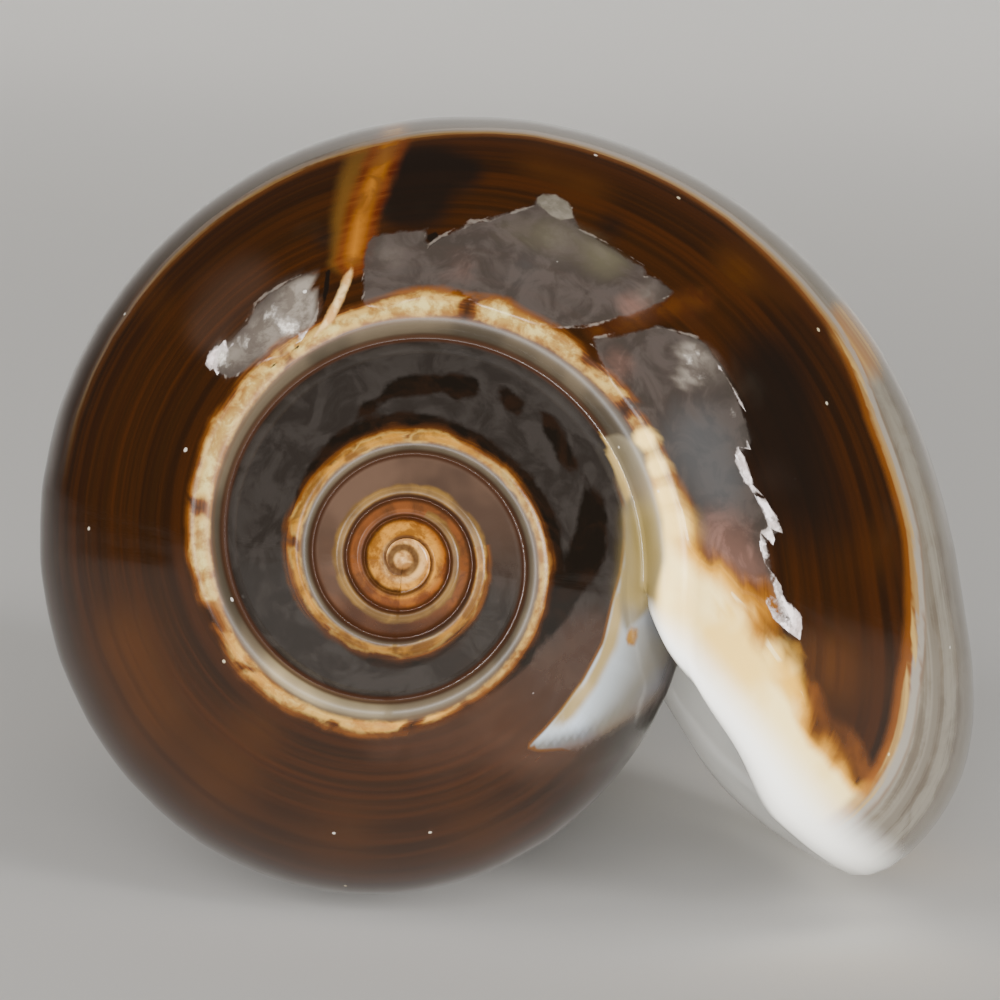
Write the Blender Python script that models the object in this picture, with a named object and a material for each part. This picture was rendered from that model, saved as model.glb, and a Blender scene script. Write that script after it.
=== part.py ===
"""An olive shell, lying on its mouth.

The shell grew as one piece, so it is one solid. It is made as it grew: a whorl
turns about a straight axis, each turn is laid on the one before it, and the last
turn ends in a thick rounded lip beside the long narrow mouth. Seen from its tip
the shell turns clockwise. Lengths below are in millimetres, and the mesh is
written in metres.

A place on the shell is given by its age and its row. Age is the number of turns
before the lip: 0 at the lip, 1 one turn earlier, and so on back to the tip. Rows
count along the whorl from its own suture, over the ridge beside it and across the
shoulder, down the long side to the front end, where the notch is.
"""

import math

import bmesh
import bpy
import numpy
from mathutils import Matrix, Vector

MM = 0.001

# The growth of each measure: (turns before the lip, millimetres). Ages below zero
# are the part of the lip that leans forward past the suture's end.
SUTURE_RADIUS = [
    (-1.0, 10.4), (-0.5, 7.6), (0.0, 5.2), (0.125, 5.05), (0.25, 4.82), (0.5, 3.92), (0.75, 3.05),
    (1.0, 2.62), (1.5, 1.97), (2.0, 1.48), (2.5, 1.22), (3.0, 1.0), (3.5, 0.84), (4.0, 0.58),
    (4.5, 0.36), (4.75, 0.27),
]
SIDE_RADIUS = [
    (-0.064, 13.4), (-0.048, 13.62), (0.0, 12.8), (0.06, 11.93), (0.14, 11.0), (0.25, 9.93),
    (0.39, 8.78), (0.52, 8.13), (0.64, 7.87), (0.76, 7.46), (0.86, 6.85), (0.94, 6.48),
    (1.05, 6.2), (1.25, 5.6), (1.5, 4.75), (2.0, 3.35), (2.5, 2.4), (3.0, 1.8), (4.0, 1.15),
    (4.75, 0.75),
]
FRONT_RADIUS = [
    (-0.055, 6.7), (0.0, 6.4), (0.25, 5.15), (0.5, 4.1), (0.75, 3.2), (1.0, 2.4), (1.5, 1.7),
    (2.0, 1.3),
]
FRONT_DEPTH = [(-0.055, 41.4), (0.0, 42.2), (0.1, 42.7), (0.5, 43.0), (1.0, 42.6), (2.0, 41.8)]
BAND_DEPTH = [(-0.055, 40.0), (0.25, 36.5), (0.5, 33.6), (0.75, 30.6), (1.0, 28.0), (2.0, 24.0)]

# The notch in the front end: its depth, its age and its half width in turns.
NOTCH_DEPTH = 2.8
NOTCH_AGE = 0.24
NOTCH_HALF_WIDTH = 0.12

# The tip: the suture's depth where it starts, and its drop over the first turn.
TURNS = 4.75
TIP_DEPTH = 0.1
FIRST_DROP = 0.36

# The ridge beside the suture, as shares of the suture's radius.
RIDGE_WIDTH = 0.19
RIDGE_CREST = 0.08
RIDGE_HEIGHT = 0.075
RIDGE_FOOT_HEIGHT = 0.04

# The shoulder: its depth for its width, its slope in degrees beside the ridge, and
# how long it holds that slope. The long side: how full it is, and its hollow inside.
SHOULDER_DEPTH = 1.35
SHOULDER_SLOPE = 42.0
SHOULDER_REACH = 0.42
SIDE_CURVE = 2.2
WAIST = 0.35

# The lip: the angle of its end at the suture, how far it leans forward of that in
# degrees, how much thicker than the wall it is, and how far its edge is rounded.
LIP_ANGLE = 6.5
LIP_LEAN = 22.0
LEAN_GROWTH = 2.6
FRONT_LEAN = 18.0
LIP_THICKNESS = 0.95
LIP_LENGTH = 0.07
LIP_ROUNDING = 1.8

# The wall, where it stands on the turn before, and the rounded end of the chamber
# in turns. The raised band round the front end, and the hollow in the pillar's end.
WALL = 1.0
FOOT_SHARE = 0.09
CHAMBER_END = 0.14
BAND_STEP = 0.22
BAND_SLOPE = 0.5
BAND_MARGIN = 1.6
PILLAR_HOLLOW = 0.3

# How the shell lies, in degrees: turned about its length, then its front lowered.
REST_ROLL = -3.6
REST_PITCH = -4.9

# The mesh: columns in a turn, rows in each part of the outline, points on the rim.
COLUMNS = 48
LIP_COLUMN = round(TURNS * COLUMNS)
CHAMBER_COLUMN = LIP_COLUMN - COLUMNS
PILLAR_COLUMN = CHAMBER_COLUMN - COLUMNS
SHOULDER_ROWS = 4
ROUND_ROWS = 3
SIDE_ROWS = 5
FRONT_ROWS = 3
RIDGE_FOOT_ROW = 2
SUTURE_ROW = RIDGE_FOOT_ROW + SHOULDER_ROWS
FOOT_ROW = SUTURE_ROW + 1
RIM_POINTS = 3
MERGE = 0.01


def spline(stations):
    """The smooth curve through hand-chosen stations, as a function of age."""
    ages = numpy.array([age for age, _ in stations])
    values = numpy.array([value for _, value in stations])
    gaps = numpy.diff(ages)
    slopes = numpy.diff(values) / gaps
    matrix = numpy.eye(len(ages))
    changes = numpy.zeros(len(ages))
    for i in range(1, len(ages) - 1):
        matrix[i, i - 1] = gaps[i - 1]
        matrix[i, i] = 2.0 * (gaps[i - 1] + gaps[i])
        matrix[i, i + 1] = gaps[i]
        changes[i] = 6.0 * (slopes[i] - slopes[i - 1])
    bends = numpy.linalg.solve(matrix, changes)

    def value_at(age):
        i = int(min(max(numpy.searchsorted(ages, age) - 1, 0), len(gaps) - 1))
        near = (age - ages[i]) / gaps[i]
        far = 1.0 - near
        bow = (far**3 - far) * bends[i] + (near**3 - near) * bends[i + 1]
        return far * values[i] + near * values[i + 1] + bow * gaps[i] ** 2 / 6.0

    return value_at


suture_radius = spline(SUTURE_RADIUS)
side_radius = spline(SIDE_RADIUS)
front_radius = spline(FRONT_RADIUS)
front_edge = spline(FRONT_DEPTH)
band_depth = spline(BAND_DEPTH)


def age_at(column):
    return (LIP_COLUMN - column) / COLUMNS


def turn_angle(age):
    return math.radians(LIP_ANGLE - 360.0 * age)


def front_depth(age):
    """Where the whorl ends in front, with the notch cut into it."""
    across = (age - NOTCH_AGE) / NOTCH_HALF_WIDTH
    return front_edge(age) - NOTCH_DEPTH * math.exp(-(across**4))


def shoulder(age, suture_depth, share):
    """A point of the shoulder, from the ridge's foot (share 0) to the widest place (share 1)."""
    root = suture_radius(age)
    inner = root * (1.0 + RIDGE_WIDTH)
    top = suture_depth - root * RIDGE_FOOT_HEIGHT
    width = side_radius(age) - inner
    rest = 1.0 - share
    first = 3.0 * rest * rest * share * SHOULDER_REACH
    second = 3.0 * rest * share * share
    last = share**3
    slope = math.tan(math.radians(SHOULDER_SLOPE))
    radius = inner + width * (first + second + last)
    depth = top + width * (slope * first + SHOULDER_DEPTH * (0.5 * second + last))
    return radius, depth


def share_at_radius(age, suture_depth, radius):
    """The share of the shoulder at which it has this radius, by halving."""
    low, high = 0.0, 1.0
    for _ in range(40):
        middle = 0.5 * (low + high)
        if shoulder(age, suture_depth, middle)[0] < radius:
            low = middle
        else:
            high = middle
    return low


def lay_sutures():
    """The suture's depth at each column: every turn lies on the turn before it."""
    depths = [TIP_DEPTH + FIRST_DROP * k / COLUMNS for k in range(COLUMNS)]
    for k in range(COLUMNS, LIP_COLUMN + 1):
        age = age_at(k)
        under = depths[k - COLUMNS]
        share = share_at_radius(age + 1.0, under, suture_radius(age))
        depths.append(shoulder(age + 1.0, under, share)[1])
    return depths


def depth_at(depths, age):
    """The suture's depth at any age, carried on in a straight line past the lip."""
    place = LIP_COLUMN - age * COLUMNS
    low = int(min(max(math.floor(place), 0), LIP_COLUMN - 1))
    return depths[low] + (place - low) * (depths[low + 1] - depths[low])


def shoulder_rows(depths, column):
    """The first rows of a column: (radius, depth, angle) from the suture to the widest place."""
    age = age_at(column)
    root = suture_radius(age)
    depth = depth_at(depths, age)
    points = [
        (root, depth, turn_angle(age)),
        (root * (1.0 + RIDGE_CREST), depth - root * RIDGE_HEIGHT, turn_angle(age)),
    ]
    covered = share_at_radius(age, depth, suture_radius(age - 1.0))
    foot = covered + FOOT_SHARE
    shares = [covered * i / SHOULDER_ROWS for i in range(SHOULDER_ROWS + 1)]
    shares += [foot + (1.0 - foot) * i / ROUND_ROWS for i in range(ROUND_ROWS + 1)]
    for share in shares:
        lean = lean_growth(age) * LIP_LEAN * (1.0 - (1.0 - share) ** 3.5)
        leaning = age - lean / 360.0
        radius, depth = shoulder(leaning, depth_at(depths, leaning), share)
        points.append((radius, depth, turn_angle(leaning)))
    return points


def side_rows(age, widest):
    """The other rows: the long side, the raised band and the front end."""
    leaning = age - lean_growth(age) * LIP_LEAN / 360.0
    end = front_depth(leaning)
    band = min(band_depth(leaning), end - BAND_MARGIN)
    step = BAND_STEP * min(max((1.05 - age) / 0.1, 0.0), 1.0)
    places = [((band - widest) * (i + 1) / SIDE_ROWS, 0.0) for i in range(SIDE_ROWS)]
    raised = band + BAND_SLOPE - widest
    places += [(raised + (end - widest - raised) * i / FRONT_ROWS, step) for i in range(FRONT_ROWS + 1)]
    points = []
    for down, lift in places:
        share = min(down / (end - widest), 1.0)
        lean = LIP_LEAN + 6.0 * share * (1.0 - share) - FRONT_LEAN * share**6
        leaning = age - lean_growth(age) * lean / 360.0
        front = front_radius(leaning)
        hollow = 1.0 + WAIST * min(max(leaning, 0.0), 1.0)
        radius = front + (side_radius(leaning) - front) * (1.0 - share**SIDE_CURVE) ** hollow
        points.append((radius + lift, widest + down, turn_angle(leaning)))
    return points


def lean_growth(age):
    """The growth lines lean forward more and more over the last turn."""
    return max(1.0 - age, 0.0) ** LEAN_GROWTH


def outline(depths, column):
    """One column of the outside. Of the early turns only the tip's rows are ever seen."""
    points = shoulder_rows(depths, column)
    if column >= PILLAR_COLUMN:
        points += side_rows(age_at(column), points[-1][1])
    return points


def mix(first, second, share, angle):
    radius = first[0] + (second[0] - first[0]) * share
    depth = first[1] + (second[1] - first[1]) * share
    return radius, depth, angle


def inside(age, outer, under):
    """The inside of the outer wall beside one column of the outside.

    Its first row is the wall's foot, on the turn under it. Near the chamber's far
    end it draws in to that turn, so that the chamber ends in a rounded corner.
    """
    thick = WALL * (1.0 - 0.15 * age) + LIP_THICKNESS * math.exp(-(((age + 0.02) / LIP_LENGTH) ** 2))
    last = len(outer) - 1
    points = []
    for row, (radius, depth, angle) in enumerate(outer):
        before = outer[max(row - 1, RIDGE_FOOT_ROW)]
        after = outer[min(row + 1, last)]
        along = Vector((after[0] - before[0], after[1] - before[1])).normalized()
        points.append((radius - thick * along.y, depth + thick * along.x, angle))
    foot = under[FOOT_ROW]
    for row in range(SUTURE_ROW):
        points[row] = mix(foot, points[SUTURE_ROW], row / SUTURE_ROW, outer[row][2])
    closing = min((1.0 - age) / CHAMBER_END, 1.0)
    opened = math.sqrt(closing * (2.0 - closing))
    return [mix(under[max(row, FOOT_ROW)], point, opened, point[2]) for row, point in enumerate(points)]


def in_space(points):
    """The points of an outline round the shell's axis, which runs back from the tip along Y."""
    return [Vector((r * math.cos(turn), depth, -r * math.sin(turn))) for r, depth, turn in points]


def add_grid(faces, columns):
    """Faces between columns of points, each column a list along the same rows."""
    for left, right in zip(columns, columns[1:]):
        for row in range(len(left) - 1):
            faces.append((left[row], left[row + 1], right[row + 1], right[row]))


def add_fan(faces, middle, loop):
    for first, second in zip(loop, loop[1:] + loop[:1]):
        faces.append((middle, first, second))


def rim(outer_edge, inner_edge, outward):
    """A rounded edge from the outside to the inside: columns of points across it."""
    columns = []
    for outer, inner, direction in zip(outer_edge, inner_edge, outward):
        middle = 0.5 * (outer + inner)
        half = outer - middle
        reach = direction * half.length * LIP_ROUNDING
        turns = [math.pi * i / (RIM_POINTS + 1) for i in range(1, RIM_POINTS + 1)]
        between = [middle + half * math.cos(turn) + reach * math.sin(turn) for turn in turns]
        columns.append([outer] + between + [inner])
    return columns


def add_edge(faces, outside, inner):
    """The rounded lip and front edge. Gives the edge's last column, beside the pillar."""
    lip_ahead = [(a - b).normalized() for a, b in zip(outside[-1], outside[-2])]
    front_columns = outside[-2::-1]
    front_ahead = [(column[-1] - column[-2]).normalized() for column in front_columns]
    lip_ahead[-1] = (lip_ahead[-1] + front_ahead[0]).normalized()
    outer_edge = outside[-1] + [column[-1] for column in front_columns]
    inner_edge = inner[-1] + [column[-1] for column in inner[-2::-1]]
    columns = rim(outer_edge, inner_edge, lip_ahead + front_ahead)
    columns[0] = [outer_edge[0]] + [inner_edge[0]] * (RIM_POINTS + 1)
    add_grid(faces, columns)
    return columns[-1]


def shell_faces():
    """Every face of the shell, as points in space."""
    depths = lay_sutures()
    outlines = [outline(depths, column) for column in range(LIP_COLUMN + 1)]
    outside = [in_space(points) for points in outlines]
    chamber = range(CHAMBER_COLUMN, LIP_COLUMN + 1)
    inner = [in_space(inside(age_at(k), outlines[k], outlines[k - COLUMNS])) for k in chamber]

    faces = []
    add_grid(faces, [column[: SUTURE_ROW + 1] for column in outside[: CHAMBER_COLUMN + 1]])
    add_grid(faces, [column[FOOT_ROW:] for column in outside[PILLAR_COLUMN : CHAMBER_COLUMN + 1]])
    add_grid(faces, outside[CHAMBER_COLUMN:])
    add_grid(faces, inner)
    beside_pillar = add_edge(faces, outside[CHAMBER_COLUMN:], inner)

    pillar = [column[-1] for column in outside[PILLAR_COLUMN:CHAMBER_COLUMN]]
    pillar_end = Vector((0.0, front_edge(1.5) - PILLAR_HOLLOW, 0.0))
    add_fan(faces, pillar_end, pillar + beside_pillar)
    tip = [column[0] for column in outside[: COLUMNS + 1]]
    first_column = outside[0][SUTURE_ROW - 1 : 0 : -1]
    add_fan(faces, Vector((0.0, 0.0, 0.0)), tip + first_column)
    return faces


def lay_down(build):
    """Turn the shell onto its belly and lip, on the ground and over the origin."""
    turn = Matrix.Rotation(math.radians(REST_PITCH), 4, "X") @ Matrix.Rotation(math.radians(REST_ROLL), 4, "Y")
    bmesh.ops.transform(build, matrix=turn, verts=build.verts)
    places = numpy.array([vert.co for vert in build.verts])
    low = places.min(axis=0)
    middle = 0.5 * (low + places.max(axis=0))
    bmesh.ops.translate(build, vec=(-middle[0], -middle[1], -low[2]), verts=build.verts)


def make_shell():
    build = bmesh.new()
    for points in shell_faces():
        build.faces.new([build.verts.new(point * MM) for point in points])
    bmesh.ops.remove_doubles(build, verts=build.verts, dist=MERGE * MM)
    bmesh.ops.dissolve_degenerate(build, edges=build.edges, dist=MERGE * MM)
    bmesh.ops.triangulate(build, faces=build.faces)
    bmesh.ops.recalc_face_normals(build, faces=build.faces)
    lay_down(build)
    mesh = bpy.data.meshes.new("shell")
    build.to_mesh(mesh)
    build.free()
    mesh.shade_smooth()
    shell = bpy.data.objects.new("shell", mesh)
    bpy.context.scene.collection.objects.link(shell)
    return shell


def shell_material():
    """Dark chestnut shell with a natural polish."""
    material = bpy.data.materials.new("olive_shell")
    material.use_nodes = True
    surface = material.node_tree.nodes["Principled BSDF"]
    surface.inputs["Base Color"].default_value = (0.040, 0.012, 0.003, 1.0)
    surface.inputs["Roughness"].default_value = 0.15
    surface.inputs["Metallic"].default_value = 0.0
    return material


def main():
    for old in list(bpy.data.objects):
        bpy.data.objects.remove(old, do_unlink=True)
    shell = make_shell()
    shell.data.materials.append(shell_material())


main()
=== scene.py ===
"""A dark olive shell, lying on its mouth, with the polish that the living animal gives it."""

import math

import bpy
import numpy as np
from mathutils import Matrix, Vector


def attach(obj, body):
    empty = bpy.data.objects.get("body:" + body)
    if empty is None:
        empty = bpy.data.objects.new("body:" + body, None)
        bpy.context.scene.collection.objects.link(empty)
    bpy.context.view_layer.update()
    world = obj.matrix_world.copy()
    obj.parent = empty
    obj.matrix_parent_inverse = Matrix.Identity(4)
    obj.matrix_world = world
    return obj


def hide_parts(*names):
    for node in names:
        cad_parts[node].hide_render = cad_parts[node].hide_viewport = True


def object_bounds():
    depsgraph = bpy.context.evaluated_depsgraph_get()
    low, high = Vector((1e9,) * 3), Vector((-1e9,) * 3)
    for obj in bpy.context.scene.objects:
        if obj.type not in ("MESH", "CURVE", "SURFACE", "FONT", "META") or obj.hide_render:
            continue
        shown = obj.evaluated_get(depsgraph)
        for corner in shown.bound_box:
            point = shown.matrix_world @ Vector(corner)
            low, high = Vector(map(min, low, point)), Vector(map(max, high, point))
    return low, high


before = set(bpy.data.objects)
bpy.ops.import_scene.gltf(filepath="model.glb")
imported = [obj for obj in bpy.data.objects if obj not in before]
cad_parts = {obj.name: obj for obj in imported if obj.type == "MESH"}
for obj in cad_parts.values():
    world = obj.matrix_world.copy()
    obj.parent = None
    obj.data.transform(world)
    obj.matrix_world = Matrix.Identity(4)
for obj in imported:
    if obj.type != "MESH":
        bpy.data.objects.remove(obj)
cad_low, cad_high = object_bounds()

MM = 0.001

# ---------------------------------------------------------------- growth of the shell
# (turns before the lip, millimetres): the same stations that the solid is built from.
SUTURE_RADIUS = [
    (-1.0, 10.4), (-0.5, 7.6), (0.0, 5.2), (0.125, 5.05), (0.25, 4.82), (0.5, 3.92), (0.75, 3.05),
    (1.0, 2.62), (1.5, 1.97), (2.0, 1.48), (2.5, 1.22), (3.0, 1.0), (3.5, 0.84), (4.0, 0.58),
    (4.5, 0.36), (4.75, 0.27),
]
SIDE_RADIUS = [
    (-0.064, 13.4), (-0.048, 13.62), (0.0, 12.8), (0.06, 11.93), (0.14, 11.0), (0.25, 9.93),
    (0.39, 8.78), (0.52, 8.13), (0.64, 7.87), (0.76, 7.46), (0.86, 6.85), (0.94, 6.48),
    (1.05, 6.2), (1.25, 5.6), (1.5, 4.75), (2.0, 3.35), (2.5, 2.4), (3.0, 1.8), (4.0, 1.15),
    (4.75, 0.75),
]
FRONT_RADIUS = [
    (-0.055, 6.7), (0.0, 6.4), (0.25, 5.15), (0.5, 4.1), (0.75, 3.2), (1.0, 2.4), (1.5, 1.7),
    (2.0, 1.3),
]
FRONT_DEPTH = [(-0.055, 41.4), (0.0, 42.2), (0.1, 42.7), (0.5, 43.0), (1.0, 42.6), (2.0, 41.8)]
BAND_DEPTH = [(-0.055, 40.0), (0.25, 36.5), (0.5, 33.6), (0.75, 30.6), (1.0, 28.0), (2.0, 24.0)]

NOTCH_DEPTH, NOTCH_AGE, NOTCH_HALF_WIDTH = 2.8, 0.24, 0.12
TURNS, TIP_DEPTH, FIRST_DROP = 4.75, 0.1, 0.36
RIDGE_WIDTH, RIDGE_CREST, RIDGE_HEIGHT, RIDGE_FOOT_HEIGHT = 0.19, 0.08, 0.075, 0.04
SHOULDER_DEPTH, SHOULDER_SLOPE, SHOULDER_REACH = 1.35, 42.0, 0.42
SIDE_CURVE, WAIST = 2.2, 0.35
LIP_ANGLE, LIP_LEAN, LEAN_GROWTH = 6.5, 22.0, 2.6
SHOULDER_LEAN, SIDE_LEAN, FRONT_LEAN = 3.5, 6.0, 18.0
LIP_THICKNESS, LIP_LENGTH, LIP_ROUNDING = 0.95, 0.07, 1.8
WALL, FOOT_SHARE, CHAMBER_END, BAND_PLACE = 1.0, 0.09, 0.14, 2.8
BAND_STEP, BAND_SLOPE, BAND_MARGIN, PILLAR_HOLLOW = 0.22, 0.5, 1.6, 0.3
MERGE = 0.0004
# Growth ripples (height, seed, bends in a turn), and the folds of the pillar and the front.
RIPPLES = [(0.01, 3, 70), (0.007, 5, 170)]
FOLD_HEIGHT, FRONT_FOLD_HEIGHT, FOLD_SPACING, FOLD_SLANT = 0.17, 0.035, 1.75, 15.0

# ---------------------------------------------------------------- markings
# Places on the spire's side, seen from the tip: millimetres right of the axis and above it.
# The film on the left, which carries most of the painted silver reflection.
LEFT_FILM = [
    (-1.9, 6.2), (-2.1, 5.8), (-1.9, 5.7), (-1.9, 5.2), (-2.3, 4.7), (-2.6, 4.4), (-3.0, 4.3), (-3.8, 3.9),
    (-4.2, 4.1), (-4.3, 4.3), (-4.1, 4.7), (-3.8, 4.7), (-3.4, 5.2), (-3.3, 5.5), (-3.0, 5.8), (-2.2, 6.2),
]
TOP_FILM = [
    (-0.9, 5.5), (-0.9, 6.5), (-0.8, 7.0), (-0.5, 7.1), (0.5, 7.2), (0.4, 6.7), (0.7, 7.0), (1.4, 7.3),
    (1.5, 7.5), (1.7, 7.3), (2.0, 7.5), (2.8, 7.7), (2.8, 8.0), (3.2, 8.0), (3.6, 7.8), (3.7, 7.3),
    (4.7, 6.7), (5.2, 6.4), (5.2, 6.2), (5.6, 6.1), (5.9, 5.8), (5.2, 5.4), (4.2, 5.1), (3.5, 5.0),
    (2.8, 5.1), (2.2, 5.3), (1.6, 5.5), (1.2, 5.8), (0.1, 5.6), (-0.4, 5.4),
]
RIGHT_FILM = [
    (4.0, 4.8), (4.9, 4.9), (5.4, 5.1), (5.9, 5.0), (6.5, 4.8), (7.0, 4.1), (7.3, 3.5), (7.6, 2.5),
    (7.3, 2.3), (7.4, 1.9), (7.7, 1.4), (8.0, 1.0), (8.2, 0.6), (7.9, 0.4), (8.0, -0.3), (8.2, -0.8),
    (8.5, -1.1), (8.7, -1.4), (8.6, -1.8), (8.2, -1.5), (7.9, -1.1), (7.8, -0.7), (7.5, -0.9), (6.8, -0.1),
    (6.6, -0.2), (6.2, 0.1), (6.0, 1.0), (5.6, 1.9), (5.1, 3.0), (4.5, 3.8),
]
FLAKE = [(2.8, 7.8), (2.9, 8.05), (3.3, 8.0), (3.65, 7.8), (3.7, 7.35), (3.3, 7.4)]
BLACK_WEDGE = [
    (-1.78, 6.25), (-1.62, 6.3), (-1.66, 5.8), (-1.78, 5.4), (-2.1, 4.85), (-1.88, 5.3), (-1.8, 5.7),
]
BLACK_NOTCH = [(0.5, 7.25), (0.75, 7.05), (0.5, 6.85), (0.3, 6.5), (0.4, 6.8)]
STRIPE_BASE = [
    (-1.25, 6.3), (-1.12, 6.35), (-1.2, 5.9), (-1.38, 5.5), (-1.55, 5.15), (-2.0, 4.75), (-1.7, 5.25),
    (-1.5, 5.7),
]
LIP_PALE = [
    (5.4, 1.9), (6.0, 1.0), (6.2, 0.2), (6.6, -0.2), (6.8, -0.1), (7.2, -0.6), (7.5, -0.9), (7.8, -0.7),
    (7.9, -1.2), (7.7, -1.4), (7.8, -1.7), (8.3, -2.4), (8.8, -3.0), (8.8, -3.9), (9.0, -4.2), (9.3, -4.0),
    (9.4, -4.7), (9.6, -4.5), (9.9, -5.3), (10.3, -5.0), (10.4, -5.4), (10.8, -4.7), (10.9, -4.3),
    (11.7, -4.9), (12.9, -4.9), (12.6, -8.0), (8.0, -8.0), (5.0, -3.0), (4.8, 1.3),
]
PORCELAIN = [
    (4.2, 2.9), (4.5, 1.9), (4.8, 1.1), (4.8, 0.4), (4.7, -0.3), (4.5, -1.0), (4.32, -1.8), (3.87, -2.65),
    (3.4, -3.3), (3.05, -3.7), (2.7, -4.05), (2.9, -4.12), (3.4, -4.1), (4.0, -4.3), (4.7, -4.7), (7.0, -3.9),
    (6.6, -0.9), (6.0, 0.0), (5.4, 1.7), (4.8, 2.9),
]
PORCELAIN_LIGHT = [
    (4.0, 0.6), (5.3, 0.6), (5.6, 0.0), (5.5, -0.9), (5.45, -1.8), (5.3, -2.6), (4.8, -3.2), (4.3, -3.6),
    (3.8, -3.85), (3.2, -4.0), (2.6, -4.15), (1.6, -4.0), (1.6, 0.0),
]
OLIVE_STRIP = [
    (4.1, 2.7), (4.45, 2.1), (4.68, 1.6), (4.76, 0.84), (4.78, 0.0), (4.65, -0.9), (4.5, -1.6), (4.4, -2.2),
    (4.8, -2.0), (5.2, -1.4), (5.45, -0.7), (5.62, 0.0), (5.58, 0.84), (5.36, 1.7), (5.1, 2.4), (4.7, 3.0),
]
BLOTCHES = [
    [
        (3.9, 1.8), (4.3, 1.3), (4.4, 0.6), (4.3, -0.1), (3.9, -0.7), (3.1, -1.8), (3.1, -1.3), (3.4, -0.2),
        (3.8, 1.1),
    ],
    [(2.9, 3.2), (3.2, 3.1), (3.6, 2.5), (3.8, 2.0), (3.6, 1.8), (3.3, 2.2), (3.0, 2.8)],
    [(1.9, 3.8), (2.3, 3.7), (2.6, 3.4), (2.5, 3.1), (2.2, 3.2), (2.0, 3.6)],
    [
        (-1.1, 2.9), (-0.9, 3.4), (-0.5, 3.5), (-0.4, 3.8), (0.2, 4.0), (1.1, 4.0), (1.6, 3.9), (1.6, 3.5),
        (1.1, 3.4), (0.8, 3.6), (0.2, 3.5), (-0.3, 3.5), (-0.6, 3.2),
    ],
]
AMBER_STRIPE = [(-1.15, 6.5), (-1.0, 7.3), (-0.9, 7.7), (-0.7, 8.3), (-0.5, 8.8), (-0.3, 9.4)]
OLIVE_STRIPE = [(-1.35, 6.5), (-1.3, 7.5), (-1.2, 8.2), (-1.0, 9.0)]
RUSSET_STRIPE = [(4.2, 4.9), (5.0, 5.2), (5.7, 5.5), (6.5, 5.7)]
HAIR_CRACKS = [[(-2.8, 5.95), (-2.5, 6.1), (-1.9, 6.3)], [(-3.0, 4.1), (-2.6, 4.3), (-2.3, 4.6)]]
LIP_CRACK = [(7.1, -0.7), (7.4, -1.1), (7.7, -1.4), (7.8, -1.7), (8.3, -2.4), (8.8, -3.0), (8.8, -3.4)]
TONGUES = [[(8.9, -2.9), (9.15, -3.3), (9.3, -3.7)], [(9.7, -3.8), (9.9, -4.2), (10.2, -4.8)]]
AMBER_HALF, OLIVE_HALF, RUSSET_HALF, TONGUE_HALF, CRACK_HALF = 0.26, 0.3, 0.35, 0.22, 0.025

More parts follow.
